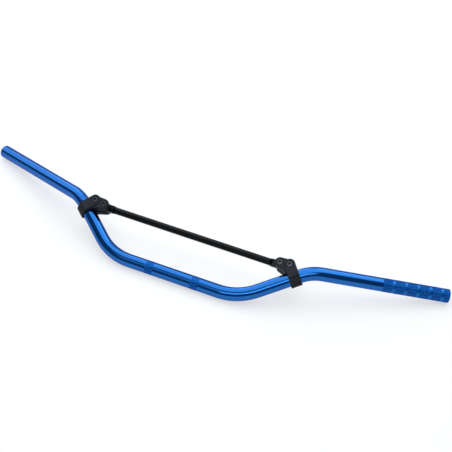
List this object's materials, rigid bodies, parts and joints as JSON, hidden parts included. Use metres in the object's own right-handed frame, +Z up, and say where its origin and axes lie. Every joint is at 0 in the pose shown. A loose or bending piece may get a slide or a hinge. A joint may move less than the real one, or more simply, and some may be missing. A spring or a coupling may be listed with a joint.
{
  "type": "motocross handlebar",
  "caption": "Wide bent motocross handlebar tube with a bolted crossbar, split clamps, and knurled bands at the middle and on the left grip.",
  "frame": {"origin": "middle of the tube's clamping section, on the tube's axis", "axes": "+X along the clamping section towards the rider's left grip, +Y to the rider, +Z up from the table that it rests on"},
  "size_m": [0.8302, 0.181, 0.0661],
  "materials": {
    "bar": "glossy blue anodised, matt where knurled",
    "crossbar": "satin black",
    "clamp": "satin black anodised",
    "fastener": "black oxide"
  },
  "bodies": {
    "root": {"handlebar_tube": "bar", "crossbar": "crossbar", "left_clamp_front": "clamp", "left_clamp_rear": "clamp", "right_clamp_front": "clamp", "right_clamp_rear": "clamp", "left_clamp_screw": "fastener", "right_clamp_screw": "fastener", "left_crossbar_screw": "fastener", "right_crossbar_screw": "fastener", "left_clamp_nut": "fastener", "right_clamp_nut": "fastener", "left_crossbar_nut": "fastener", "right_crossbar_nut": "fastener"}
  },
  "joints": []
}
